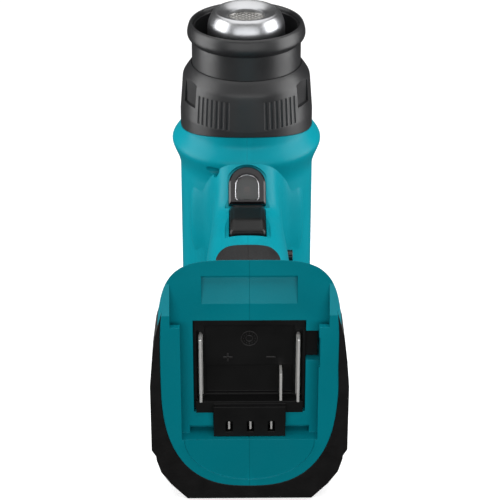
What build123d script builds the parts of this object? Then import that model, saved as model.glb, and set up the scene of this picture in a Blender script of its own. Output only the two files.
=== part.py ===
from build123d import *
from math import atan2, copysign, cos, degrees, pi, sin, sqrt
import os

# Cordless heat gun, in millimetres. +Z runs along the barrel to the nozzle, the grip reaches
# towards -Y, +X is the tool's left. The origin is on the barrel axis at the flat rear, z = 0.

# ---- driving dimensions -------------------------------------------------------------------
BARREL_R = 31.8
WALL = 2.6
BARREL_REAR_Z = 24.0
NECK_R = 27.6
NECK_TOP_Z = 126.0
NOZZLE_R = 18.2
NOZZLE_RIM_R = 14.4
NOZZLE_TOP_Z = 161.6
GRILLE_R = 10.4
SLEEVE_R = 25.75
SLEEVE_WALL = 1.5
LIP_R = 27.8
RING_BOTTOM_R = 31.5
RING_TOP_R = 30.3
RING_TOP_Z = 136.3
KNURL_R = 0.85
POCKET_ANGLE = 61.0
WAVE_R = 93.0
RING_WAVE_TOP = 110.6
WAVE_GAP = 0.35
FOOT_FACE_Y = -163.0
RAIL_LIP_Y = -160.0
SLOT_FLOOR_Y = -157.0
SLOT_HALF = 28.5
UNDERCUT_HALF = 33.2
SLOT_REAR_Z = 29.8
SLOT_FRONT_Z = 84.3
GAP = 0.35
SCREW_R = 1.5
SCREW_HEAD_R = 2.3
TRIGGER_HALF = 8.1
BEZEL_WIDTH = 17.0
BEZEL_HEIGHT = 18.6
CHANNEL_HALF = 10.2
CHANNEL_DEPTH = 1.3
DIAL_Z = 38.0
DIAL_Y = 25.4
DIAL_R = 9.0
DIAL_HALF = 3.4
MOTOR_R = 13.85
SHAFT_R = 1.15
NECK_SLOPE = Plane(origin=(0, -43.2, 91.2), x_dir=(1, 0, 0), z_dir=(0, -0.690, 0.7236))

# Sections of the grip and foot, from the barrel outwards:
# y, front z, rear z, half width, front and rear roundness, tilt of the section.
GRIP_SECTIONS = [
    (-16, 108, 18, 27.0, 2.4, 2.4, 0),
    (-24, 106, 21, 21.6, 2.6, 2.4, 0),
    (-30, 103.5, 25, 17.6, 3.0, 2.5, 0),
    (-36, 98, 29.5, 16.4, 3.2, 2.5, 0),
    (-42, 92, 33, 16.4, 3.2, 2.5, 0),
    (-49, 85.6, 35, 17.2, 3.2, 2.5, 0),
    (-62, 84.6, 36, 18.2, 3, 2.5, 0),
    (-78, 85.2, 35.5, 19, 3, 2.5, 0),
    (-95, 84.0, 35, 19, 3, 2.5, 0),
    (-112, 83, 34.6, 19, 3, 2.6, 0),
    (-125, 85.5, 32, 20.5, 3.2, 2.7, -0.03),
    (-134, 92, 22, 27, 3.6, 2.7, -0.06),
    (-140, 99.5, 13, 34.0, 4.0, 2.65, -0.07),
    (-145.5, 105.0, 7.6, 37.2, 4.2, 2.6, -0.05),
    (-151, 109.2, 6.0, 37.9, 4.4, 2.6, -0.03),
    (-156.5, 112.2, 5.5, 38.0, 4.4, 2.6, 0),
    (-161.4, 112.4, 5.4, 37.9, 4.4, 2.6, 0),
]
FOOT_FRONT_Z, FOOT_REAR_Z, FOOT_HALF = 112.4, 5.4, 37.9
GRIP_END = 14  # sections that belong to the hollow grip, before the solid foot plate

# Screws run along X from the right half into the left half: y, z.
SCREWS = [(-31.2, 92.8), (26.3, 62.0), (26.3, 92.0), (-46.0, 43.0), (-98.0, 43.0), (-127.0, 72.0),
          (-138.5, 30.0), (-147.5, 97.4)]


# ---- helpers ------------------------------------------------------------------------------
def egg(front_z, rear_z, half, n_front, n_rear, inset=0.0, count=40):
    """Points of a rounded section: a superellipse with its own roundness front and rear."""
    mid = (front_z + rear_z) / 2
    reach_z, reach_x = (front_z - rear_z) / 2 - inset, half - inset
    points = []
    for i in range(count):
        turn = 2 * pi * i / count
        power = 2 / (n_front if sin(turn) >= 0 else n_rear)
        x = copysign(abs(cos(turn)) ** power, cos(turn)) * reach_x
        z = mid + copysign(abs(sin(turn)) ** power, sin(turn)) * reach_z
        points.append((x, z))
    return points, mid


def egg_face(y, front_z, rear_z, half, n_front, n_rear, tilt=0.0, inset=0.0):
    points, mid = egg(front_z, rear_z, half, n_front, n_rear, inset)
    edge = Spline(*[(x, y + tilt * (z - mid), z) for x, z in points], periodic=True)
    return make_face(edge)


def grip_body(inset=0.0):
    sections = GRIP_SECTIONS if inset == 0 else GRIP_SECTIONS[:GRIP_END]
    return loft([egg_face(*section, inset=inset) for section in sections])


def block(x0, x1, y0, y1, z0, z1):
    centre = ((x0 + x1) / 2, (y0 + y1) / 2, (z0 + z1) / 2)
    return Pos(*centre) * Box(abs(x1 - x0), abs(y1 - y0), abs(z1 - z0))


def turned(*points):
    """Solid of revolution about Z from (radius, z) points."""
    return revolve(Plane.XZ * make_face(Polyline(*points, close=True)), axis=Axis.Z)


def ring_of(outer, inner, z0, z1):
    return turned((inner, z0), (outer, z0), (outer, z1), (inner, z1))


def rod_x(y, z, radius, x0, x1):
    return Pos((x0 + x1) / 2, y, z) * Rot(0, 90, 0) * Cylinder(radius, abs(x1 - x0))


def rod_y(x, z, radius, y0, y1):
    return Pos(x, (y0 + y1) / 2, z) * Rot(90, 0, 0) * Cylinder(radius, abs(y1 - y0))


def rod_z(x, y, radius, z0, z1):
    return Pos(x, y, (z0 + z1) / 2) * Cylinder(radius, abs(z1 - z0))


def around(piece, angles):
    return [Rot(0, 0, angle) * piece for angle in angles]


def wave_cutter(top):
    """A large lying cylinder: its crown gives the ring's wavy lower edge, lowest at +X and -X."""
    return Pos(0, 0, top - WAVE_R) * Rot(90, 0, 0) * Cylinder(WAVE_R, 120)


def biggest(shape):
    return max(shape.solids(), key=lambda solid: solid.volume)


def arch(width, height):
    """An arch outline standing on a straight edge, centred on its own box."""
    radius = width / 2
    sketch = Pos(0, -radius / 2) * Rectangle(width, height - radius)
    return sketch + Pos(0, height / 2 - radius) * Circle(radius)


def slope_prism(width, height, low, high, shift=0.0):
    """An arch extruded square to the sloped neck between two depths."""
    sketch = NECK_SLOPE.offset(low) * (Pos(0, shift) * arch(width, height))
    return extrude(sketch, amount=high - low, dir=NECK_SLOPE.z_dir)


# ---- housing ------------------------------------------------------------------------------
def barrel_outer():
    profile = Polyline((0, BARREL_REAR_Z), (BARREL_R, BARREL_REAR_Z), (BARREL_R, 84))
    profile += Spline((BARREL_R, 84), (32.7, 89.2), (34.7, 94.2), (35.6, 98.0), (34.1, 101.0),
                      (31.9, 104.2), (31.3, 108.0), tangents=[(0, 1), (0, 1)])
    profile += Polyline((31.3, 108.0), (31.3, 113), (NECK_R, 113), (NECK_R, NECK_TOP_Z),
                        (0, NECK_TOP_Z), (0, BARREL_REAR_Z))
    return revolve(Plane.XZ * make_face(profile), axis=Axis.Z)


def foot_edge():
    """The last stretch of the foot, drawn in to break the edge of its face."""
    near = egg_face(-161.4, FOOT_FRONT_Z, FOOT_REAR_Z, FOOT_HALF, 4.4, 2.6)
    face = egg_face(FOOT_FACE_Y, FOOT_FRONT_Z - 1.3, FOOT_REAR_Z + 1.3, FOOT_HALF - 1.3, 4.4, 2.6)
    return loft([near, face], ruled=True)


def outer_body():
    body = barrel_outer() + grip_body()
    body += foot_edge()
    return body - block(-60, 60, -33.6, 60, 0, BARREL_REAR_Z)


def inner_space():
    barrel = turned((0, 0), (BARREL_R - WALL, 0), (BARREL_R - WALL, 100), (25.0, 106),
                    (25.0, 200), (0, 200))
    foot = block(-27, 27, -151.5, -142, 24, 96)
    return barrel + grip_body(2.8) + foot


def battery_interface():
    """Everything cut into the foot's face for the sliding battery."""
    bay = block(-SLOT_HALF, SLOT_HALF, FOOT_FACE_Y - 5, SLOT_FLOOR_Y, SLOT_REAR_Z, SLOT_FRONT_Z + 1)
    undercut = block(-UNDERCUT_HALF, UNDERCUT_HALF, RAIL_LIP_Y, SLOT_FLOOR_Y, SLOT_REAR_Z,
                     SLOT_FRONT_Z + 1)
    entry_points = [(FOOT_FACE_Y - 5, SLOT_FRONT_Z), (SLOT_FLOOR_Y, SLOT_FRONT_Z),
                    (SLOT_FLOOR_Y, 130), (FOOT_FACE_Y - 5, 130)]
    entry = extrude(Plane.YZ * make_face(Polyline(*entry_points, close=True)), 32.6, both=True)
    ramp_points = [(FOOT_FACE_Y - 0.01, 90.0), (SLOT_FLOOR_Y, 101.5), (SLOT_FLOOR_Y, 130),
                   (FOOT_FACE_Y - 5, 130), (FOOT_FACE_Y - 5, 90.0)]
    ramp = extrude(Plane.YZ * make_face(Polyline(*ramp_points, close=True)), 60, both=True)
    latch_points = [(SLOT_FLOOR_Y - 1, 92.2), (SLOT_FLOOR_Y, 92.2), (-154.2, 103.0), (-154.2, 105.1),
                    (SLOT_FLOOR_Y - 1, 105.1)]
    latch = extrude(Plane.YZ * make_face(Polyline(*latch_points, close=True)), 19.6, both=True)
    throat = block(-23.4, 23.4, FOOT_FACE_Y, -148, 40.2, 84.4)
    throat += block(-15.3, 15.3, FOOT_FACE_Y, -148, SLOT_REAR_Z, 41)
    throat += block(-25.2, 25.2, FOOT_FACE_Y, -152.2, SLOT_REAR_Z, 33.4)
    notch = block(23.0, 29.0, FOOT_FACE_Y, -148, 65.4, 79.4)
    rear_panel = extrude(Plane.XZ.offset(-FOOT_FACE_Y - 0.5) * (
        Pos(0, SLOT_REAR_Z) * (Ellipse(27.5, 20) & Pos(0, -15) * Rectangle(60, 30))), 3)
    return [bay, undercut, entry, ramp, latch, throat, notch, rear_panel]


def trigger_pocket():
    return block(-TRIGGER_HALF - GAP, TRIGGER_HALF + GAP, -80.6, -52.0, 68.0, 100)


def front_channel():
    """A shallow channel that frames the lamp and the trigger."""
    arch_end = slope_prism(2 * CHANNEL_HALF, BEZEL_HEIGHT + 2.8, -CHANNEL_DEPTH, 12)
    straight = block(-CHANNEL_HALF, CHANNEL_HALF, -81.6, -50.2, 83.6, 100)
    return arch_end + straight


def lock_button_hole(extra=0.0):
    slot = Rot(0, 90, 0) * extrude(SlotOverall(12.6 + 2 * extra, 6.6 + 2 * extra), 30)
    return Pos(8.0, -66.0, 63.0) * slot


def screw_boss(y, z):
    return rod_x(y, z, 3.4, -26, 26)


def vent_slots():
    slots = []
    for z in (48, 54, 60, 66, 72):
        sector = extrude(make_face(Polyline((0, 0), (60, 14), (60, 48), (0, 0))), 2.6)
        slots.append(Pos(0, 0, z) * sector)
        slots.append(Pos(0, 0, z) * mirror(sector, Plane.YZ))
    return slots


def pad_regions(inset=0.0):
    """Prisms that outline the soft grip: a front panel and a palm panel round the back."""
    front_outline = Pos(0, -110) * RectangleRounded(28.6 - 2 * inset, 40 - 2 * inset, 6)
    front = extrude(Plane.XY.offset(62) * front_outline, 40)
    palm_outline = Polyline((-47 - inset, 20), (-47 - inset, 44), (-60, 56 - inset),
                            (-92, 58 - inset), (-122, 56 - inset), (-129 + inset, 44),
                            (-129 + inset, 20), close=True)
    palm_face = fillet(make_face(palm_outline).vertices(), 5)
    palm = extrude(Plane.YZ * palm_face, 40, both=True)
    return front, palm


def build_housing():
    outer = outer_body()
    collar_cut = ring_of(45, NECK_R, 96, 118) - wave_cutter(RING_WAVE_TOP - WAVE_GAP)
    outer = outer - collar_cut
    shell = outer - inner_space()
    for y, z in SCREWS:
        shell += screw_boss(y, z) & outer
    for cut in battery_interface():
        shell -= cut
    shell -= trigger_pocket()
    shell -= lock_button_hole(GAP)
    shell -= slope_prism(BEZEL_WIDTH + 0.2, BEZEL_HEIGHT + 0.2, -6, 12)
    shell -= front_channel()
    for slot in vent_slots():
        shell -= slot
    dial_slot = rod_x(DIAL_Y, DIAL_Z, DIAL_R + GAP, -DIAL_HALF - GAP, DIAL_HALF + GAP)
    shell -= dial_slot
    return shell, outer


def split_housing(shell):
    left = shell & block(0, 60, -200, 60, -10, 200)
    right = shell & block(-60, 0, -200, 60, -10, 200)
    for y, z in SCREWS:
        left -= rod_x(y, z, SCREW_R, -1, 9)
        right -= rod_x(y, z, SCREW_R + 0.2, -9, 1)
        right -= rod_x(y, z, SCREW_HEAD_R + 0.3, -60, -8)
    return biggest(left), biggest(right)


def housing_lugs():
    """Three bayonet lugs on the neck that hold the lock ring down."""
    lug = ring_of(28.6, NECK_R - 1.0, 116.0, 118.5)
    wedge = extrude(make_face(Polyline((0, 0), (60, 10), (60, -10), (0, 0))), 200)
    return around(lug & wedge, (90, 210, 330))


def lugs_by_side():
    """The lugs, cut at the parting plane, so that each half carries its own."""
    left, right = [], []
    for lug in housing_lugs():
        left.append(lug & block(0, 60, -60, 60, 100, 130))
        right.append(lug & block(-60, 0, -60, 60, 100, 130))
    return left, right


def add_all(body, pieces):
    for piece in pieces:
        if piece and piece.solids():
            body += piece
    return body


def soft_pads():
    """Rubber skin set 1.6 mm into the grip, standing 0.3 mm proud."""
    skin = grip_body(-0.3) - grip_body(1.6)
    front, palm = pad_regions()
    pads = (skin & front) + (skin & palm)
    left = pads & block(0.0, 60, -200, 0, 0, 200)
    right = pads & block(-60, 0.0, -200, 0, 0, 200)
    return left, right


def build_bumper(outer):
    half = [(0, 0), (26.5, 0), (33.4, 7.3), (37.6, 13.5), (39.4, 19.6), (39.6, 21.6), (41.4, 24.6),
            (41.4, 56), (40.4, 68), (38.8, 80), (35.4, 93), (0, 93)]
    mirrored = [(-x, z) for x, z in reversed(half[1:-1])]
    outline = make_face(Polyline(*half, *mirrored, close=True))
    body = extrude(Plane.XZ.offset(142.5) * outline, 20.2)
    top_edges = body.edges().filter_by_position(Axis.Y, -142.6, -142.4)
    side_edges = [edge for edge in top_edges if edge.center().Z < 92]
    body = chamfer(side_edges, 2.6)
    shell = body - outer
    return biggest(shell)


# ---- barrel parts -------------------------------------------------------------------------
def build_rear_cover():
    shell = turned((0, 0), (27.0, 0), (30.4, 1.4), (BARREL_R, 5.0), (BARREL_R, BARREL_REAR_Z),
                   (29.4, BARREL_REAR_Z), (29.4, 6.0), (27.6, 2.8), (0, 2.8))
    spigot = ring_of(29.15, 27.6, 20.0, 28.0)
    shell += spigot + ring_of(29.8, 27.6, 20.0, 23.0)
    side = block(24, 40, -1.2, 1.2, 8, 19)
    shell -= Compound(children=around(side, range(0, 360, 12)))
    for radius in (9.0, 13.4, 17.8, 22.2):
        arc = ring_of(radius + 1.2, radius - 1.2, -1, 4)
        spokes = Compound(children=around(block(0, 30, -1.3, 1.3, -2, 6), range(0, 360, 60)))
        shell -= arc - spokes
    shell -= ring_of(29, 24.8, -0.1, 0.6) - block(-60, 60, -60, 60, 0.5, 10)
    return shell


def build_filter():
    disc = ring_of(26.6, 0.001, 3.1, 3.7)
    for i in range(-5, 6):
        for j in range(-5, 6):
            x, y = 4.2 * i, 4.2 * j
            if sqrt(x * x + y * y) < 23.4:
                disc -= rod_z(x, y, 1.5, 2, 5)
    return disc


def build_impeller():
    hub = ring_of(5.2, SHAFT_R, 7.0, 19.0)
    plate = ring_of(23.5, 4.0, 17.4, 19.0)
    shroud = ring_of(23.5, 14.0, 7.0, 8.2)
    blade = Pos(14.2, 0, 12.8) * Rot(0, 0, 28) * Box(17.5, 1.2, 9.6)
    body = hub + plate + shroud
    for piece in around(blade, range(0, 360, 36)):
        body += piece
    return body & ring_of(23.5, SHAFT_R, 6, 20)


def build_motor():
    can = ring_of(MOTOR_R, 12.9, 28.0, 60.0) + ring_of(MOTOR_R, 3.0, 28.0, 29.2)
    can += ring_of(5.0, 3.0, 25.6, 29.2)
    for slot in around(block(6, 12, -2, 2, 26, 30), (45, 135, 225, 315)):
        can -= slot
    cap = ring_of(MOTOR_R, 3.0, 60.0, 64.6) + ring_of(5.0, 3.0, 64.6, 66.4)
    for x in (-9.6, 9.6):
        cap += block(x - 0.4, x + 0.4, -2.4, 2.4, 64.6, 70.0)
    magnet = ring_of(12.9, 10.6, 34.0, 56.0)
    gap = block(-20, 20, -3, 3, 30, 60)
    magnets = magnet - gap
    return can, cap, magnets


def build_armature():
    core = ring_of(9.8, SHAFT_R, 36.0, 54.0)
    for slot in around(block(3.5, 12, -0.9, 0.9, 30, 60), range(0, 360, 72)):
        core -= slot
    return core + ring_of(3.4, SHAFT_R, 55.4, 59.4)


def build_motor_holder():
    body = ring_of(15.6, MOTOR_R, 40.0, 50.0) + ring_of(29.2, 27.4, 40.0, 46.0)
    for vane in around(block(15.0, 27.8, -0.9, 0.9, 40.0, 50.0), range(0, 360, 40)):
        body += vane
    return body - block(-4.4, 9.8, 16.4, 40, 30, 52)


# ---- heater -------------------------------------------------------------------------------
def build_nozzle():
    profile = Polyline((17.4, 82), (NOZZLE_R, 82), (NOZZLE_R, 135.8), (NOZZLE_R + 0.6, 136.1),
                       (NOZZLE_R + 0.6, 137.0), (NOZZLE_R, 137.2), (NOZZLE_R, 152.6))
    profile += Spline((NOZZLE_R, 152.6), (17.7, 156.6), (16.4, 159.6), (NOZZLE_RIM_R, NOZZLE_TOP_Z),
                      tangents=[(0, 1), (-1, 0.35)])
    profile += Spline((NOZZLE_RIM_R, NOZZLE_TOP_Z), (12.6, 161.2), (8.8, 159.0),
                      tangents=[(-1, 0), (-0.8, -1)])
    profile += Polyline((8.8, 159.0), (8.8, 157.6), (10.6, 157.6), (16.0, 153.4), (17.4, 150.6),
                        (17.4, 82))
    tube = revolve(Plane.XZ * make_face(profile), axis=Axis.Z)
    return tube + ring_of(21.4, 17.4, 82.0, 83.0)


def build_nozzle_grille():
    """Wire guard close behind the mouth: a rim with crossed bars."""
    body = ring_of(GRILLE_R, GRILLE_R - 1.0, 156.0, 157.5)
    for i in range(-3, 4):
        reach = sqrt((GRILLE_R - 0.4) ** 2 - (2.6 * i) ** 2)
        body += block(2.6 * i - 0.3, 2.6 * i + 0.3, -reach, reach, 156.7, 157.3)
        body += block(-reach, reach, 2.6 * i - 0.3, 2.6 * i + 0.3, 156.2, 156.8)
    return body


def build_heater():
    liner = ring_of(17.3, 16.6, 86.0, 150.0)
    former = block(-15.8, 15.8, -0.8, 0.8, 88, 146) + block(-0.8, 0.8, -15.8, 15.8, 88, 146)
    for z in range(92, 146, 5):
        notch = ring_of(17, 14.6, z - 0.55, z + 0.55)
        former -= notch
    ends = ring_of(16.4, 12.0, 146.0, 147.4) + block(-13, 13, -0.8, 0.8, 146, 147.4)
    coil = [ring_of(15.5, 14.7, z - 0.4, z + 0.4) for z in range(92, 146, 5)]
    return liner, former, ends, Compound(children=coil)


def build_heater_flange():
    plate = ring_of(29.2, 4.5, 78.4, 80.0)
    for hole in around(rod_z(10.5, 0, 3.0, 70, 90), range(0, 360, 45)):
        plate -= hole
    plate += ring_of(21.4, 18.6, 80.0, 82.0)
    plate -= block(-60, 60, 20.5, 60, 70, 90)
    plate -= block(-60, 60, -60, -25.5, 70, 90)
    return plate


def build_heat_shield():
    return ring_of(22.6, 22.1, 83.2, 128.0) + ring_of(24.9, 22.1, 124.8, 125.4)


def build_front_plate():
    plate = ring_of(23.6, NOZZLE_R + 0.05, 128.0, 129.2)
    for hole in around(rod_z(20.9, 0, 1.1, 120, 135), range(0, 360, 30)):
        plate -= hole
    return plate


def build_sensor():
    return rod_z(6.2, 6.2, 1.2, 74.0, 104.0) + rod_z(6.2, 6.2, 1.9, 71.0, 77.6)


# ---- protector and lock ring ----------------------------------------------------------------
def build_sleeve():
    inner = SLEEVE_R - SLEEVE_WALL
    profile = Polyline((inner, 129.6), (24.0 + 0.25, 127.0), (27.3, 127.0), (27.3, 129.6),
                       (SLEEVE_R, 129.6), (SLEEVE_R, 147.6))
    profile += Spline((SLEEVE_R, 147.6), (26.3, 148.3), (27.5, 149.6), (LIP_R, 152.0), (27.2, 154.6),
                      (25.9, 156.3), tangents=[(0, 1), (-1, 0.3)])
    profile += Spline((25.9, 156.3), (25.2, 155.9), (24.6, 154.0), (inner, 150.0),
                      tangents=[(-1, 0), (0, -1)])
    profile += Polyline((inner, 150.0), (inner, 129.6))
    return revolve(Plane.XZ * make_face(profile), axis=Axis.Z)


def build_lock_ring():
    profile = Polyline((28.0, 100), (RING_BOTTOM_R, 100), (RING_BOTTOM_R, 113), (RING_TOP_R, 128.6))
    profile += Spline((RING_TOP_R, 128.6), (30.1, 130.2), (29.0, 132.4), (27.2, 135.0),
                      (26.05, RING_TOP_Z), tangents=[(-0.1, 1), (-0.9, 1)])
    profile += Polyline((26.05, RING_TOP_Z), (26.05, 130.0), (28.0, 130.0), (28.0, 100))
    ring = revolve(Plane.XZ * make_face(profile), axis=Axis.Z)
    ring -= wave_cutter(RING_WAVE_TOP)
    groove = ring_of(28.95, 27.5, 112.9, 118.9)
    ring -= groove
    exit_slot = ring_of(28.95, 27.5, 100, 118.9)
    wedge = extrude(make_face(Polyline((0, 0), (60, 12), (60, -12), (0, 0))), 200)
    for slot in around(exit_slot & wedge, (65, 185, 305)):
        ring -= slot
    taper = degrees(atan2(RING_BOTTOM_R - RING_TOP_R, 15.6))
    knurl = Pos(RING_BOTTOM_R - 0.2, 0, 120.3) * Rot(0, -taper, 0) * Cylinder(KNURL_R, 13.6)
    pocket = block(29.3, 40, -5.2, 5.2, 120.2, 132.4)
    for front in (90, 270):
        for i in range(7):
            turn = 16.5 + 4.9 * i
            ring -= Rot(0, 0, front - turn) * knurl
            ring -= Rot(0, 0, front + turn) * knurl
        ring -= Rot(0, 0, front - POCKET_ANGLE) * pocket
        ring -= Rot(0, 0, front + POCKET_ANGLE) * pocket
    return ring


# ---- controls -------------------------------------------------------------------------------
def build_trigger():
    outline = make_face(Polyline((-52.4, 69.5), (-52.4, 86.2), (-60.5, 89.0), (-73, 88.9),
                                 (-80.2, 86.4), (-80.2, 69.5), close=True))
    outline = fillet([v for v in outline.vertices() if 86 < v.Y < 88], 2.6)
    outline = fillet([v for v in outline.vertices() if v.Y > 88.5], 10)
    body = extrude(Plane.YZ * outline, TRIGGER_HALF, both=True)
    side_edges = [edge for edge in body.edges()
                  if abs(edge.center().X) > TRIGGER_HALF - 0.7 and edge.center().Z > 70]
    body = fillet(side_edges, 2.4)
    body -= rod_z(0, -66, 4.2, 68, 82)
    guide = block(-3, 3, -79, -76, 60.6, 70)
    return body + guide


def build_trigger_spring():
    """Compression spring drawn as its turns joined by two side webs."""
    turns = [ring_of(3.6, 2.6, z, z + 0.9) for z in (62.2, 65.0, 67.8, 70.6, 73.4, 76.2, 80.9)]
    body = turns[0]
    for turn in turns[1:]:
        body += turn
    for x in (-3.1, 3.1):
        body += block(x - 0.4, x + 0.4, -0.5, 0.5, 62.4, 81.6)
    return Pos(0, -66, 0) * body


def build_switch():
    body = block(-8.2, 8.2, -83.5, -50.0, 44.0, 62.0)
    body += rod_z(0, -66, 2.2, 60, 74.5)
    body -= block(-3.4, 3.4, -79.4, -75.6, 52.5, 70)
    for y in (-56, -62, -74):
        body += block(-1.2, 1.2, y - 0.4, y + 0.4, 40.0, 45.0)
    return body


def build_lock_button():
    cap = lock_button_hole() & block(12.6, 20.6, -90, -40, 40, 90)
    flange = Pos(13.3, -66, 63) * Box(1.4, 9.4, 14.0)
    return cap + flange


def build_dial():
    wheel = rod_x(DIAL_Y, DIAL_Z, DIAL_R, -DIAL_HALF, DIAL_HALF)
    for i in range(24):
        angle = 2 * pi * i / 24
        wheel -= rod_x(DIAL_Y + 9.3 * cos(angle), DIAL_Z + 9.3 * sin(angle), 0.55, -5, -0.6)
    wheel -= rod_x(DIAL_Y, DIAL_Z, 1.55, -6, 6)
    return wheel


def build_dial_pot():
    body = block(4.4, 9.0, DIAL_Y - 5.0, DIAL_Y + 1.5, DIAL_Z - 6, DIAL_Z + 6)
    return body + rod_x(DIAL_Y, DIAL_Z, 1.5, -3.2, 5)


# ---- lamp -----------------------------------------------------------------------------------
def build_bezel():
    frame = slope_prism(BEZEL_WIDTH, BEZEL_HEIGHT, -4.0, 1.9)
    face = frame.faces().sort_by(lambda f: f.center().dot(NECK_SLOPE.z_dir))[-1]
    frame = chamfer(face.edges(), 0.9)
    window = slope_prism(11.6, 13.2, -5, 5, -0.9)
    return frame - window


def build_lens():
    lens = slope_prism(11.5, 13.1, -3.2, 0.6, -0.9)
    face = lens.faces().sort_by(lambda f: f.center().dot(NECK_SLOPE.z_dir))[-1]
    return fillet(face.edges(), 1.0)


def build_led():
    board = slope_prism(11.5, 13.1, -5.6, -4.4, -0.9)
    chip = NECK_SLOPE.offset(-4.4) * Pos(0, -0.9) * Box(3.0, 3.0, 1.0, align=(
        Align.CENTER, Align.CENTER, Align.MIN))
    return board, chip


# ---- electronics ------------------------------------------------------------------------------
def build_terminal_block():
    body = block(-23.2, 23.2, -152.0, -148.6, 40.4, 84.2)
    rim = block(-23.2, 23.2, -155.6, -151.0, 41.2, 84.2)
    rim -= block(-18.6, 18.6, -156, -152.0, 45.8, 81.2)
    rim -= block(-22.0, -18.6, -156, -152.6, 45.8, 79.0)
    rim -= block(18.6, 22.0, -156, -152.6, 45.8, 79.0)
    body += rim
    body -= block(-18.2, 18.2, -152.1, -150.4, 46.4, 60.0)
    body += block(-22.4, 22.4, -158.0, -151.0, 40.4, 45.8)
    body += block(-15.1, 15.1, -160.4, -151.0, 30.1, 44.6)
    body += block(23.0, 28.4, -153.6, -149.0, 65.8, 79.0)
    for x in (-8.6, 0.4, 9.2):
        body -= block(x - 1.5, x + 1.5, -161, -154.0, 32.3, 37.4)
    return body


def build_blades():
    long_blades = []
    for x in (-20.3, 20.3):
        long_blades.append(block(x - 0.6, x + 0.6, -159.6, -152.6, 46.2, 76.6))
    short = block(12.6, 13.6, -158.8, -150.4, 46.6, 59.8)
    contacts = []
    for x in (-8.6, 0.4, 9.2):
        contacts.append(block(x - 0.4, x + 0.4, -159.4, -154.0, 33.0, 36.8))
    return Compound(children=long_blades), short, Compound(children=contacts)


def build_boards():
    board = block(-26, 26, -145.6, -144.0, 40, 92)
    sink = block(-18, 18, -144.0, -142.0, 62, 86)
    for x in range(-16, 17, 4):
        sink += block(x - 0.7, x + 0.7, -142.2, -138.0, 63, 85)
    parts = block(-20, -12, -144.0, -138.5, 44, 56) + block(-8, 2, -144.0, -140.5, 44, 54)
    parts += rod_y(11, 50, 4.0, -144.0, -134.0)
    return board, sink, parts


def lead(points, radius, bend):
    """An insulated lead: straight runs joined by tangent arcs."""
    path = FilletPolyline(*points, radius=bend)
    start = path @ 0
    return sweep(Plane(origin=start, z_dir=path % 0) * Circle(radius), path=path)


def build_leads():
    red = lead([(-6, -84.4, 60), (-6, -112, 60), (-12, -138, 50)], 1.3, 8)
    black = lead([(6, -84.4, 60), (6, -112, 60), (14.5, -133, 56)], 1.3, 8)
    heater = lead([(-4, -49.5, 55), (-4, -36, 55), (-11, -22, 74)], 1.0, 6)
    return red, black, heater


def build_screws():
    screws = []
    for y, z in SCREWS:
        head = rod_x(y, z, SCREW_HEAD_R, -10.2, -8.0) - block(-11, -9.4, y - 1.8, y + 1.8, z - 0.4, z + 0.4)
        head -= block(-11, -9.4, y - 0.4, y + 0.4, z - 1.8, z + 1.8)
        screws.append(head + rod_x(y, z, SCREW_R, -8.4, 8.8))
    return Compound(children=screws)


# ---- assembly ---------------------------------------------------------------------------------
def build_all():
    shell, outer = build_housing()
    front, palm = pad_regions()
    pad_space = grip_body(-1.0) - grip_body(1.6)
    shell -= pad_space & front
    shell -= pad_space & palm
    left, right = split_housing(shell)
    left_lugs, right_lugs = lugs_by_side()
    left, right = add_all(left, left_lugs), add_all(right, right_lugs)
    grip_left, grip_right = soft_pads()
    can, end_cap, magnets = build_motor()
    liner, former, former_end, coil = build_heater()
    led_board, led_chip = build_led()
    blades, signal_blade, contacts = build_blades()
    board, sink, board_parts = build_boards()
    red, black, heater_lead = build_leads()
    return {
        "housing_left": left,
        "housing_right": right,
        "grip_left": grip_left,
        "grip_right": grip_right,
        "foot_bumper": build_bumper(outer),
        "rear_cover": build_rear_cover(),
        "dust_filter": build_filter(),
        "fan_impeller": build_impeller(),
        "motor_can": can,
        "motor_end_cap": end_cap,
        "motor_magnets": magnets,
        "motor_bushes": Compound(children=[ring_of(3.0, SHAFT_R + 0.03, 25.6, 29.2),
                                           ring_of(3.0, SHAFT_R + 0.03, 62.0, 66.4)]),
        "motor_armature": build_armature(),
        "motor_shaft": rod_z(0, 0, SHAFT_R, 6.4, 68.0),
        "motor_holder": build_motor_holder(),
        "nozzle_tube": build_nozzle(),
        "nozzle_grille": build_nozzle_grille(),
        "mica_liner": liner,
        "heater_former": former,
        "former_end_ring": former_end,
        "heater_coil": coil,
        "heater_flange": build_heater_flange(),
        "heat_shield": build_heat_shield(),
        "front_plate": build_front_plate(),
        "thermal_sensor": build_sensor(),
        "protector_sleeve": build_sleeve(),
        "lock_ring": build_lock_ring(),
        "trigger": build_trigger(),
        "trigger_spring": build_trigger_spring(),
        "trigger_switch": build_switch(),
        "lock_on_button": build_lock_button(),
        "temperature_dial": build_dial(),
        "dial_potentiometer": build_dial_pot(),
        "lamp_bezel": build_bezel(),
        "lamp_lens": build_lens(),
        "lamp_board": led_board,
        "lamp_led": led_chip,
        "terminal_block": build_terminal_block(),
        "power_blades": blades,
        "signal_blade": signal_blade,
        "signal_contacts": contacts,
        "control_board": board,
        "board_heat_sink": sink,
        "board_components": board_parts,
        "lead_red": red,
        "lead_black": black,
        "heater_lead": heater_lead,
        "housing_screws": build_screws(),
    }


def main():
    os.makedirs("parts", exist_ok=True)
    for name, shape in build_all().items():
        export_step(shape, f"parts/{name}.step")
        print(name, "valid" if shape.is_valid else "INVALID", len(shape.solids()))


main()
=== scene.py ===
from math import cos, pi, radians, sin, sqrt

import bmesh
import bpy
from mathutils import Matrix, Vector


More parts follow.
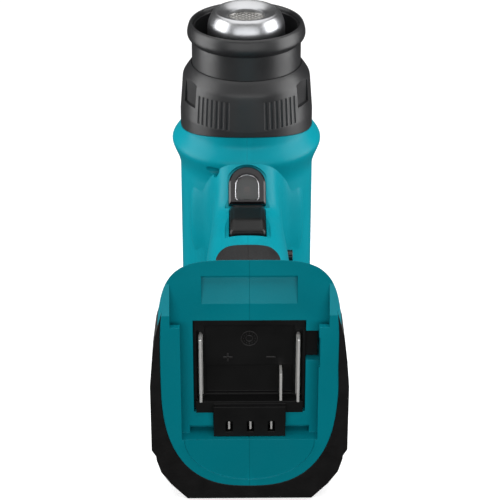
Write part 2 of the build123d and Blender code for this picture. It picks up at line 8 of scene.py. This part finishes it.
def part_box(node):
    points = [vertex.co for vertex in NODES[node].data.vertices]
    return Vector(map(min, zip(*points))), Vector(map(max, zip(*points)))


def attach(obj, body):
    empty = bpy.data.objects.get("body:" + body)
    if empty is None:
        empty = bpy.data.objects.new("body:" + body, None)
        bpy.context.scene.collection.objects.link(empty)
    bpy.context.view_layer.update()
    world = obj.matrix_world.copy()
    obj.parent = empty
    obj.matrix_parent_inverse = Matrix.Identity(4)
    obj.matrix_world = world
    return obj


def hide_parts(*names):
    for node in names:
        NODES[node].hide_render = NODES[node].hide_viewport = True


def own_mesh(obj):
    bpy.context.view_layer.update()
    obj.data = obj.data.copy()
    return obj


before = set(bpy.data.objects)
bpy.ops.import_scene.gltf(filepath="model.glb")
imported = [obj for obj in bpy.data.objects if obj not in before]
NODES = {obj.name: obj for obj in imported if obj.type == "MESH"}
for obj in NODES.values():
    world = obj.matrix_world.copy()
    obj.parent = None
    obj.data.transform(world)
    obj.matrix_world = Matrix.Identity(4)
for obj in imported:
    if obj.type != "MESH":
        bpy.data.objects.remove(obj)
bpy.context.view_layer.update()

# Looks of the cordless heat gun. Metres, +Z along the barrel to the nozzle, -Y down the grip.
MM = 0.001
SLOPE_UP = Vector((0, 0.7236, 0.690)).normalized()  # up the sloped neck that holds the lamp
BLOCK_FLOOR_Y = -152.0 * MM
DIAL_NUMBER_STEP = 54  # degrees between two numbers; the dial's whole turn would need 67.5


# ---- material helpers ---------------------------------------------------------------------
class Shader:
    """A principled material whose nodes read the object's own coordinates."""

    def __init__(self, name, color, rough, metallic=0.0, specular=0.5):
        self.mat = bpy.data.materials.new(name)
        self.mat.use_nodes = True
        self.tree = self.mat.node_tree
        self.bsdf = self.tree.nodes["Principled BSDF"]
        self.color = color
        self.set("Base Color", (*color, 1))
        self.set("Roughness", rough)
        self.set("Metallic", metallic)
        self.set("Specular IOR Level", specular)
        self.coords = self.node("ShaderNodeTexCoord").outputs["Object"]
        self.normal = None

    def set(self, socket, value):
        self.bsdf.inputs[socket].default_value = value

    def node(self, kind, **values):
        made = self.tree.nodes.new(kind)
        for key, value in values.items():
            setattr(made, key, value)
        return made

    def link(self, source, target):
        self.tree.links.new(source, target)

    def noise(self, size, detail=3.0, stretch=(1, 1, 1)):
        """Noise whose features are about size metres across."""
        mapping = self.node("ShaderNodeMapping")
        mapping.inputs["Scale"].default_value = stretch
        self.link(self.coords, mapping.inputs["Vector"])
        noise = self.node("ShaderNodeTexNoise")
        noise.inputs["Scale"].default_value = 1 / size
        noise.inputs["Detail"].default_value = detail
        self.link(mapping.outputs["Vector"], noise.inputs["Vector"])
        return noise.outputs["Fac"]

    def cells(self, size):
        cells = self.node("ShaderNodeTexVoronoi")
        cells.inputs["Scale"].default_value = 1 / size
        self.link(self.coords, cells.inputs["Vector"])
        return cells.outputs["Distance"]

    def ranged(self, source, low, high, start=0.3, end=0.7):
        ranged = self.node("ShaderNodeMapRange")
        ranged.inputs["From Min"].default_value = start
        ranged.inputs["From Max"].default_value = end
        ranged.inputs["To Min"].default_value = low
        ranged.inputs["To Max"].default_value = high
        self.link(source, ranged.inputs["Value"])
        return ranged.outputs["Result"]

    def blend_color(self, factor, other):
        """Mixes another colour over the present one where factor is 1."""
        mix = self.node("ShaderNodeMix", data_type="RGBA")
        self.link(factor, mix.inputs["Factor"])
        base = self.bsdf.inputs["Base Color"]
        if base.is_linked:
            self.link(base.links[0].from_socket, mix.inputs["A"])
        else:
            mix.inputs["A"].default_value = (*self.color, 1)
        mix.inputs["B"].default_value = (*other, 1)
        self.link(mix.outputs["Result"], base)

    def vary_rough(self, low, high, size):
        self.link(self.ranged(self.noise(size), low, high), self.bsdf.inputs["Roughness"])

    def soft_edges(self, radius):
        bevel = self.node("ShaderNodeBevel", samples=6)
        bevel.inputs["Radius"].default_value = radius
        self.normal = bevel.outputs["Normal"]
        self.link(self.normal, self.bsdf.inputs["Normal"])

    def bump(self, height, strength, distance):
        bump = self.node("ShaderNodeBump")
        bump.inputs["Strength"].default_value = strength
        bump.inputs["Distance"].default_value = distance
        self.link(height, bump.inputs["Height"])
        if self.normal is not None:
            self.link(self.normal, bump.inputs["Normal"])
        self.normal = bump.outputs["Normal"]
        self.link(self.normal, self.bsdf.inputs["Normal"])

    def edge_wear(self, other, amount):
        """Rubs another colour over outer edges, where pointiness rises above a flat face's 0.5."""
        geometry = self.node("ShaderNodeNewGeometry")
        worn = self.ranged(geometry.outputs["Pointiness"], 0, amount, 0.53, 0.60)
        self.blend_color(worn, other)

    def parting_line(self, half_width, shade):
        """Painted shade: a darker hairline at x = 0, where the two mouldings meet, standing in for the
        shadow in the seam's groove.
        """
        split = self.node("ShaderNodeSeparateXYZ")
        self.link(self.coords, split.inputs["Vector"])
        away = self.node("ShaderNodeMath", operation="ABSOLUTE")
        self.link(split.outputs["X"], away.inputs[0])
        near = self.ranged(away.outputs["Value"], 0.85, 0, half_width * 0.4, half_width)
        self.blend_color(near, shade)


def lighter(color, factor):
    return tuple(min(1.0, channel * factor + 0.004) for channel in color)


def moulded(name, color, rough, grain=0.35 * MM, grain_height=0.12, edge=0.35 * MM, specular=0.5):
    """Moulded plastic: fine spark texture, faint flow variation and softened, lightly rubbed edges."""
    shader = Shader(name, color, rough, specular=specular)
    shader.blend_color(shader.ranged(shader.noise(35 * MM), 0, 0.35), lighter(color, 0.86))
    shader.blend_color(shader.ranged(shader.noise(0.8 * MM), 0, 0.25), lighter(color, 1.12))
    shader.vary_rough(rough - 0.05, rough + 0.07, 12 * MM)
    shader.soft_edges(edge)
    shader.bump(shader.noise(grain, 2.0), grain_height, 0.05 * MM)
    shader.edge_wear(lighter(color, 1.5), 0.25)
    return shader


def soft_rubber(name, color, rough):
    shader = Shader(name, color, rough, specular=0.35)
    shader.blend_color(shader.ranged(shader.noise(9 * MM), 0, 0.5), lighter(color, 1.35))
    shader.soft_edges(0.5 * MM)
    shader.bump(shader.cells(0.9 * MM), 0.35, 0.12 * MM)
    shader.vary_rough(rough - 0.06, rough + 0.06, 6 * MM)
    return shader


def metal(name, color, rough, stretch=(1, 1, 1), grain=0.4 * MM, strength=0.08, metallic=1.0):
    shader = Shader(name, color, rough, metallic=metallic)
    shader.blend_color(shader.ranged(shader.noise(6 * MM), 0, 0.35), lighter(color, 0.8))
    streaks = shader.noise(grain, 4.0, stretch)
    shader.link(shader.ranged(streaks, rough - 0.06, rough + 0.1), shader.bsdf.inputs["Roughness"])
    shader.soft_edges(0.2 * MM)
    shader.bump(streaks, strength, 0.02 * MM)
    return shader


def mottled(name, color, rough, size, other, strength=0.2):
    shader = Shader(name, color, rough)
    shader.blend_color(shader.ranged(shader.noise(size), 0, 0.8), other)
    shader.vary_rough(rough - 0.08, rough + 0.08, size * 2)
    shader.bump(shader.noise(size * 0.3), strength, 0.05 * MM)
    return shader


# ---- materials of each kind of piece ------------------------------------------------------
def teal_shell():
    shader = moulded("teal_shell", (0.0, 0.245, 0.305), 0.34, grain_height=0.08, specular=0.12)
    # painted shade along the seam between the two shells, in place of the groove's shadow
    shader.parting_line(0.10 * MM, (0.0, 0.16, 0.20))
    return shader


def nozzle_steel():
    """Turned and polished steel: rings of tool marks and a faint straw tint near the mouth."""
    shader = metal("nozzle_steel", (0.50, 0.51, 0.53), 0.30, (1, 1, 9), 0.5 * MM, 0.05)
    split = shader.node("ShaderNodeSeparateXYZ")
    shader.link(shader.coords, split.inputs["Vector"])
    heat = shader.ranged(split.outputs["Z"], 0.0, 0.25, 0.1585, 0.1600)
    shader.blend_color(heat, (0.47, 0.455, 0.44))
    return shader


def clear_lens():
    shader = Shader("clear_lens", (0.20, 0.20, 0.21), 0.06)
    shader.set("Transmission Weight", 0.92)
    shader.set("IOR", 1.49)
    shader.bump(shader.noise(1.4 * MM), 0.10, 0.1 * MM)
    shader.vary_rough(0.04, 0.10, 3 * MM)
    return shader


def printed_board():
    shader = Shader("printed_board", (0.015, 0.13, 0.055), 0.35)
    shader.blend_color(shader.ranged(shader.cells(2.4 * MM), 0, 0.8, 0.1, 0.4), (0.03, 0.24, 0.10))
    shader.bump(shader.cells(2.4 * MM), 0.2, 0.05 * MM)
    return shader


def pale_floor():
    shader = Shader("pale_floor", (0.70, 0.70, 0.70), 0.8)
    shader.blend_color(shader.ranged(shader.noise(0.4), 0, 0.2), (0.68, 0.68, 0.68))
    shader.set("Emission Color", (1, 1, 1, 1))
    shader.set("Emission Strength", 0.5)
    return shader


def build_materials():
    shaders = {
        "teal": teal_shell(),
        "grip": soft_rubber("grip_rubber", (0.010, 0.009, 0.009), 0.50),
        "bumper": soft_rubber("bumper_rubber", (0.006, 0.0055, 0.0055), 0.46),
        "resin": moulded("protector_resin", (0.014, 0.014, 0.015), 0.38, 0.5 * MM, 0.15, specular=0.5),
        "black": moulded("black_plastic", (0.004, 0.004, 0.004), 0.34, specular=0.25),
        "gloss": moulded("black_gloss", (0.005, 0.004, 0.005), 0.18, grain_height=0.03, specular=0.4),
        "terminal": moulded("terminal_plastic", (0.004, 0.004, 0.004), 0.45, 0.6 * MM, 0.2, specular=0.3),
        "nozzle": nozzle_steel(),
        "grille": metal("grille_steel", (0.55, 0.54, 0.52), 0.34, grain=0.3 * MM),
        "steel": metal("zinc_steel", (0.55, 0.56, 0.58), 0.30),
        "shaft": metal("ground_steel", (0.68, 0.68, 0.70), 0.18, (1, 1, 8)),
        "screw": metal("black_zinc", (0.09, 0.09, 0.10), 0.38),
        "blade": metal("nickel_blade", (0.95, 0.94, 0.91), 0.42, (6, 1, 1), metallic=0.5),
        "bronze": metal("sintered_bronze", (0.50, 0.33, 0.16), 0.45),
        "aluminium": metal("extruded_aluminium", (0.78, 0.79, 0.80), 0.34, (1, 8, 1)),
        "wire": metal("oxidised_wire", (0.26, 0.21, 0.18), 0.55),
        "shield": metal("shield_steel", (0.25, 0.25, 0.26), 0.42),
        "mica": mottled("mica_sheet", (0.52, 0.44, 0.31), 0.45, 2 * MM, (0.66, 0.60, 0.48)),
        "ceramic": mottled("steatite", (0.70, 0.67, 0.60), 0.60, 1.2 * MM, (0.60, 0.56, 0.48)),
        "ferrite": mottled("ferrite", (0.05, 0.05, 0.05), 0.60, 0.8 * MM, (0.09, 0.085, 0.08)),
        "fan": moulded("fan_plastic", (0.05, 0.05, 0.056), 0.48),
        "holder": moulded("holder_resin", (0.12, 0.10, 0.085), 0.5, 0.6 * MM, 0.25),
        "lens": clear_lens(),
        "board": printed_board(),
        "parts": moulded("component_resin", (0.022, 0.022, 0.025), 0.40),
        "led": mottled("led_phosphor", (0.40, 0.36, 0.20), 0.25, 0.8 * MM, (0.48, 0.45, 0.30)),
        "red": soft_rubber("red_insulation", (0.45, 0.012, 0.010), 0.40),
        "lead": soft_rubber("black_insulation", (0.012, 0.012, 0.012), 0.40),
        "braid": mottled("glass_braid", (0.62, 0.60, 0.55), 0.80, 0.5 * MM, (0.48, 0.46, 0.42), 0.6),
        "mark": moulded("raised_mark", (0.022, 0.021, 0.021), 0.36),
        "print": mottled("dial_print", (0.75, 0.75, 0.73), 0.55, 0.6 * MM, (0.62, 0.62, 0.60)),
        "mirror": metal("lamp_reflector", (0.80, 0.80, 0.82), 0.14),
    }
    return {name: shader.mat for name, shader in shaders.items()}


MATERIAL_OF_NODE = {
    "housing_left": "teal", "housing_right": "teal", "grip_left": "grip", "grip_right": "grip",
    "foot_bumper": "bumper", "rear_cover": "black", "dust_filter": "grille", "fan_impeller": "fan",
    "motor_can": "steel", "motor_end_cap": "black", "motor_magnets": "ferrite",
    "motor_bushes": "bronze", "motor_armature": "steel", "motor_shaft": "shaft",
    "motor_holder": "holder", "nozzle_tube": "nozzle", "nozzle_grille": "grille",
    "mica_liner": "mica", "heater_former": "mica", "former_end_ring": "ceramic",
    "heater_coil": "wire", "heater_flange": "ceramic", "heat_shield": "shield",
    "front_plate": "shield", "thermal_sensor": "ceramic", "protector_sleeve": "resin",
    "lock_ring": "resin", "trigger": "black", "trigger_spring": "steel",
    "trigger_switch": "black", "lock_on_button": "gloss", "temperature_dial": "black",
    "dial_potentiometer": "parts", "lamp_bezel": "gloss", "lamp_lens": "lens",
    "lamp_board": "board", "lamp_led": "led", "terminal_block": "terminal",
    "power_blades": "blade", "signal_blade": "blade", "signal_contacts": "blade",
    "control_board": "board", "board_heat_sink": "aluminium", "board_components": "parts",
    "lead_red": "red", "lead_black": "lead", "heater_lead": "braid", "housing_screws": "screw",
}


def dress_nodes(materials):
    for name, kind in MATERIAL_OF_NODE.items():
        mesh = NODES[name].data
        mesh.materials.clear()
        mesh.materials.append(materials[kind])


# ---- mesh helpers -------------------------------------------------------------------------
def finish_piece(name, mesh_build, material, body, smooth=True, replaces=()):
    mesh = bpy.data.meshes.new(name)
    bmesh.ops.recalc_face_normals(mesh_build, faces=mesh_build.faces)
    mesh_build.to_mesh(mesh)
    mesh_build.free()
    for face in mesh.polygons:
        face.use_smooth = smooth
    piece = bpy.data.objects.new(name, mesh)
    bpy.context.scene.collection.objects.link(piece)
    mesh.materials.append(material)
    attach(piece, body)
    if replaces:
        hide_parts(*replaces)
    return piece


def add_tube(build, points, radius, sides=10, closed=False):
    """A round wire through the points, with flat end caps unless it closes on itself."""
    rings = []
    count = len(points)
    aside = Vector((0.13, 0.07, 0.99))  # a direction that no wire here runs along
    for i, point in enumerate(points):
        before = points[i - 1] if (i or closed) else points[0]
        after = points[(i + 1) % count] if (i < count - 1 or closed) else points[-1]
        along = (after - before).normalized()
        side = along.cross(aside).normalized()
        other = along.cross(side)
        ring = []
        for k in range(sides):
            turn = 2 * pi * k / sides
            ring.append(build.verts.new(point + radius * (cos(turn) * side + sin(turn) * other)))
        rings.append(ring)
    spans = count if closed else count - 1
    for i in range(spans):
        low, high = rings[i], rings[(i + 1) % count]
        for k in range(sides):
            build.faces.new((low[k], low[(k + 1) % sides], high[(k + 1) % sides], high[k]))
    if not closed:
        build.faces.new(rings[0])
        build.faces.new(rings[-1])


def add_box(build, low, high, bevel=0.0):
    low, high = Vector(low), Vector(high)
    made = bmesh.ops.create_cube(build, size=1.0)["verts"]
    middle, size = (low + high) / 2, high - low
    for vert in made:
        vert.co = Vector([middle[i] + vert.co[i] * size[i] for i in range(3)])
    if bevel:
        edges = list({edge for vert in made for edge in vert.link_edges})
        bmesh.ops.bevel(build, geom=edges, offset=bevel, segments=2, profile=0.6, affect="EDGES")


def add_lathe(build, profile, sides):
    """Turns a closed (radius, z) outline about the barrel's axis."""
    rings = []
    for k in range(sides):
        turn = 2 * pi * k / sides
        rings.append([build.verts.new((r * cos(turn), r * sin(turn), z)) for r, z in profile])
    for k in range(sides):
        here, there = rings[k], rings[(k + 1) % sides]
        for i in range(len(profile)):
            j = (i + 1) % len(profile)
            build.faces.new((here[i], there[i], there[j], here[j]))


def helix(radius, low, high, turns, centre=(0, 0), steps=28):
    points = []
    total = int(turns * steps)
    for i in range(total + 1):
        turn = 2 * pi * i / steps
        z = low + (high - low) * i / total
        points.append(Vector((centre[0] + radius * cos(turn), centre[1] + radius * sin(turn), z)))
    return points


# ---- pieces -------------------------------------------------------------------------------
def heater_coil(materials):
    """The resistance wire, itself a fine coil, wound round the mica former."""
    low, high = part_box("heater_coil")
    turns, fine_steps = 11, 6
    fine_radius, inward, wire = 0.62 * MM, 0.25 * MM, 0.16 * MM
    end_gap = 0.4 * MM
    build = bmesh.new()
    centre_line = helix(high.x - 0.5 * MM, low.z + end_gap, high.z - end_gap, turns, steps=60)
    fine = []
    for i, point in enumerate(centre_line[:-1]):
        step = centre_line[i + 1] - point
        outward = Vector((point.x, point.y, 0)).normalized()
        across = step.normalized().cross(outward)
        for k in range(fine_steps):
            turn = 2 * pi * k / fine_steps
            offset = fine_radius * (cos(turn) * outward + sin(turn) * across)
            fine.append(point + step * (k / fine_steps) + offset - outward * inward)
    add_tube(build, fine, wire, sides=5)
    finish_piece("heater_winding", build, materials["wire"], "housing",
                 replaces=("heater_coil",))


def trigger_spring(materials):
    low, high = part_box("trigger_spring")
    centre = ((low.x + high.x) / 2, (low.y + high.y) / 2)
    wire, turns = 0.45 * MM, 8
    radius = (high.x - low.x) / 2 - wire
    build = bmesh.new()
    add_tube(build, helix(radius, low.z + wire, high.z - wire, turns, centre), wire)
    spring = finish_piece("trigger_return_spring", build, materials["steel"], "housing",
                          replaces=("trigger_spring",))
    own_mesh(spring)
    return spring


def woven_disc(build, radius, z, pitch, wire, sides):
    """Plain-weave wire cloth: each wire rises and falls over the ones it crosses."""
    reach = int(radius / pitch)
    for axis in (0, 1):
        for i in range(-reach, reach + 1):
            offset = i * pitch
            half = sqrt(max(radius ** 2 - offset ** 2, 0))
            if half < pitch:
                continue
            points = []
            steps = max(4, int(2 * half / (pitch / 3)))
            for k in range(steps + 1):
                along = -half + 2 * half * k / steps
                lift = wire * cos(pi * along / pitch) * (1 if (i + axis) % 2 else -1)
                place = (along, offset) if axis == 0 else (offset, along)
                points.append(Vector((place[0], place[1], z + lift)))
            add_tube(build, points, wire, sides)


def framed_cloth(node, pitch, wire, sides, rim_outset, rim_inset):
    """Wire cloth in a flat rim that fills a node's box; the rim's two radii are set in from it."""
    low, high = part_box(node)
    build = bmesh.new()
    woven_disc(build, high.x - 0.6 * MM, (low.z + high.z) / 2, pitch, wire, sides)
    outer, inner = high.x - rim_outset, high.x - rim_inset
    add_lathe(build, [(inner, low.z), (outer, low.z), (outer, high.z), (inner, high.z)], 72)
    return build


def nozzle_mesh(materials):
    build = framed_cloth("nozzle_grille", 1.5 * MM, 0.22 * MM, 6, 0.05 * MM, 1.2 * MM)
    finish_piece("nozzle_wire_mesh", build, materials["grille"], "housing",
                 replaces=("nozzle_grille",))


def filter_cloth(materials):
    build = framed_cloth("dust_filter", 1.7 * MM, 0.14 * MM, 4, 0, 1.4 * MM)
    finish_piece("filter_wire_cloth", build, materials["grille"], "housing",
                 replaces=("dust_filter",))


def power_blades(materials):
    """Two long blades with rounded edges, each standing in a thicker root."""
    low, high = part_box("power_blades")
    half = 0.6 * MM
    root_half, root_depth, root_inset = half + 0.25 * MM, 1.6 * MM, 1 * MM
    build = bmesh.new()
    for x in (low.x + half, high.x - half):
        add_box(build, (x - half, low.y, low.z), (x + half, high.y, high.z), 0.38 * MM)
        add_box(build, (x - root_half, high.y - root_depth, low.z + root_inset),
                (x + root_half, high.y, high.z - root_inset), 0.15 * MM)
    finish_piece("terminal_blades", build, materials["blade"], "housing",
                 smooth=False, replaces=("power_blades",))


def block_marks(materials):
    """Generic mould marks on the terminal block's floor: a date ring, a plus and a minus."""
    top_y = BLOCK_FLOOR_Y - 0.28 * MM
    ring_z, sign_z = 73 * MM, 64 * MM
    build = bmesh.new()

    def raised_bar(x, z, half_x, half_z, bevel=0.0):
        add_box(build, (x - half_x, top_y, z - half_z), (x + half_x, BLOCK_FLOOR_Y, z + half_z), bevel)

    for radius in (3.4 * MM, 1.4 * MM):
        points = []
        for k in range(36):
            turn = 2 * pi * k / 36
            points.append(Vector((radius * cos(turn), BLOCK_FLOOR_Y, ring_z + radius * sin(turn))))
        add_tube(build, points, 0.22 * MM, sides=6, closed=True)
    for k in range(12):
        turn = 2 * pi * k / 12
        raised_bar(2.4 * MM * cos(turn), ring_z + 2.4 * MM * sin(turn), 0.18 * MM, 0.18 * MM)
    plus_x, minus_x = -9 * MM, 9 * MM
    long, short, soft = 2 * MM, 0.4 * MM, 0.1 * MM
    raised_bar(plus_x, sign_z, long, short, soft)
    raised_bar(plus_x, sign_z, short, long, soft)
    raised_bar(minus_x, sign_z, long, short, soft)
    finish_piece("terminal_block_marks", build, materials["mark"], "housing",
                 smooth=False)


def lamp_rim(materials):
    """A thin bright bead round the arch-shaped lens, lying in the sloped neck."""
    low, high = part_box("lamp_lens")
    half, reach, corner = high.x - 0.3 * MM, 6.3 * MM, 1.7 * MM
    lift, bead = 2.0 * MM, 0.26 * MM
    normal = Vector((1, 0, 0)).cross(SLOPE_UP)
    centre = Vector((0, (low.y + high.y) / 2, (low.z + high.z) / 2)) + normal * lift
    outline = []
    for i in range(7):
        turn = pi + pi / 2 * i / 6
        outline.append((corner - half + corner * cos(turn), corner - reach + corner * sin(turn)))
    for i in range(7):
        turn = 1.5 * pi + pi / 2 * i / 6
        outline.append((half - corner + corner * cos(turn), corner - reach + corner * sin(turn)))
    for i in range(19):
        turn = pi * i / 18
        outline.append((half * cos(turn), reach - half + half * sin(turn)))
    points = [centre + Vector((x, 0, 0)) + SLOPE_UP * up for x, up in outline]
    build = bmesh.new()
    add_tube(build, points, bead, sides=8, closed=True)
    finish_piece("lamp_lens_rim", build, materials["mirror"], "housing")


def dial_numbers(materials):
    """Numbers 1 to 5 round the rim of the temperature dial."""
    low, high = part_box("temperature_dial")
    centre = (low + high) / 2
    radius = (high.z - low.z) / 2 - 0.02 * MM
    beside = 1.2 * MM  # from the middle of the rim to the side without notches
    for number in range(1, 6):
        curve = bpy.data.curves.new(f"dial_number_{number}", "FONT")
        curve.body = str(number)
        curve.size = 3.4 * MM
        curve.extrude = 0.06 * MM
        curve.align_x = "CENTER"
        curve.align_y = "CENTER"
        source = bpy.data.objects.new(f"dial_source_{number}", curve)
        bpy.context.scene.collection.objects.link(source)
        bpy.context.view_layer.update()
        mesh = bpy.data.meshes.new_from_object(source)
        bpy.data.objects.remove(source)
        turn = radians(-DIAL_NUMBER_STEP * (number - 1))
        outward = Vector((0, cos(turn), sin(turn)))
        along = Vector((1, 0, 0))
        up = outward.cross(along)
        basis = Matrix((along, up, outward)).transposed().to_4x4()
        place = Matrix.Translation(centre + outward * radius + along * beside) @ basis
        mesh.transform(place)
        piece = bpy.data.objects.new(f"dial_number_{number}", mesh)
        bpy.context.scene.collection.objects.link(piece)
        mesh.materials.clear()
        mesh.materials.append(materials["print"])
        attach(piece, "dial")


# ---- stage, light and camera --------------------------------------------------------------
def area_light(name, place, target, size, power):
    light = bpy.data.lights.new(name, "AREA")
    light.shape = "RECTANGLE"
    light.size, light.size_y = size
    light.energy = power
    lamp = bpy.data.objects.new(name, light)
    bpy.context.scene.collection.objects.link(lamp)
    lamp.location = place
    lamp.rotation_euler = (Vector(target) - Vector(place)).to_track_quat("-Z", "Y").to_euler()


def studio_bowl():
    """A pale floor that curves up into a wall all round, seen by the camera but casting no light."""
    reach, curve, height = 3.0, 1.5, 4.0
    outline = [(reach, 0.0)]
    for i in range(1, 9):
        turn = pi / 2 * i / 8
        outline.append((reach + curve * sin(turn), curve * (1 - cos(turn))))
    outline.append((reach + curve, height))
    build = bmesh.new()
    sides = 64
    rings = []
    for radius, z in outline:
        ring = []
        for k in range(sides):
            turn = 2 * pi * k / sides
            ring.append(build.verts.new((radius * cos(turn), radius * sin(turn), z)))
        rings.append(ring)
    build.faces.new(rings[0])
    for low, high in zip(rings, rings[1:]):
        for k in range(sides):
            build.faces.new((low[k], low[(k + 1) % sides], high[(k + 1) % sides], high[k]))
    mesh = bpy.data.meshes.new("studio_floor")
    build.to_mesh(mesh)
    build.free()
    floor = bpy.data.objects.new("studio_floor", mesh)
    bpy.context.scene.collection.objects.link(floor)
    mesh.materials.append(pale_floor().mat)
    floor.visible_diffuse = False
    floor.visible_glossy = False


def build_stage():
    studio_bowl()
    world = bpy.data.worlds.new("studio")
    bpy.context.scene.world = world
    world.use_nodes = True
    background = world.node_tree.nodes["Background"]
    background.inputs["Color"].default_value = (1, 1, 1, 1)
    background.inputs["Strength"].default_value = 0.04
    middle = (0, -0.04, 0.14)
    for name, x in (("softbox_left", -0.27), ("softbox_right", 0.27)):
        area_light(name, (x, -0.04, 0.17), middle, (0.22, 0.34), 1.0)
    area_light("overhead", (0, 0.3, 1.9), (0, 0.3, 0), (3.0, 3.0), 46)
    area_light("front_fill", (0, -1.7, 0.5), middle, (2.6, 1.4), 21)


def build_camera():
    camera = bpy.data.cameras.new("camera")
    camera.sensor_width = 36.0
    camera.lens = 133.2
    view = bpy.data.objects.new("camera", camera)
    bpy.context.scene.collection.objects.link(view)
    pitch, swing, distance = radians(27.5), radians(-0.55), 0.922
    aim_height, side_step = 35.3 * MM, 1.74 * MM
    target = Vector((0, 0, aim_height))
    toward = Vector((sin(swing) * cos(pitch), -cos(swing) * cos(pitch), sin(pitch)))
    right = Vector((cos(swing), sin(swing), 0))
    view.location = target + toward * distance + right * side_step
    view.rotation_euler = (-toward).to_track_quat("-Z", "Y").to_euler()
    bpy.context.scene.camera = view
    bpy.context.scene.view_settings.view_transform = "Standard"


def main():
    materials = build_materials()
    dress_nodes(materials)
    heater_coil(materials)
    trigger_spring(materials)
    nozzle_mesh(materials)
    filter_cloth(materials)
    power_blades(materials)
    block_marks(materials)
    lamp_rim(materials)
    dial_numbers(materials)
    build_stage()
    build_camera()


main()
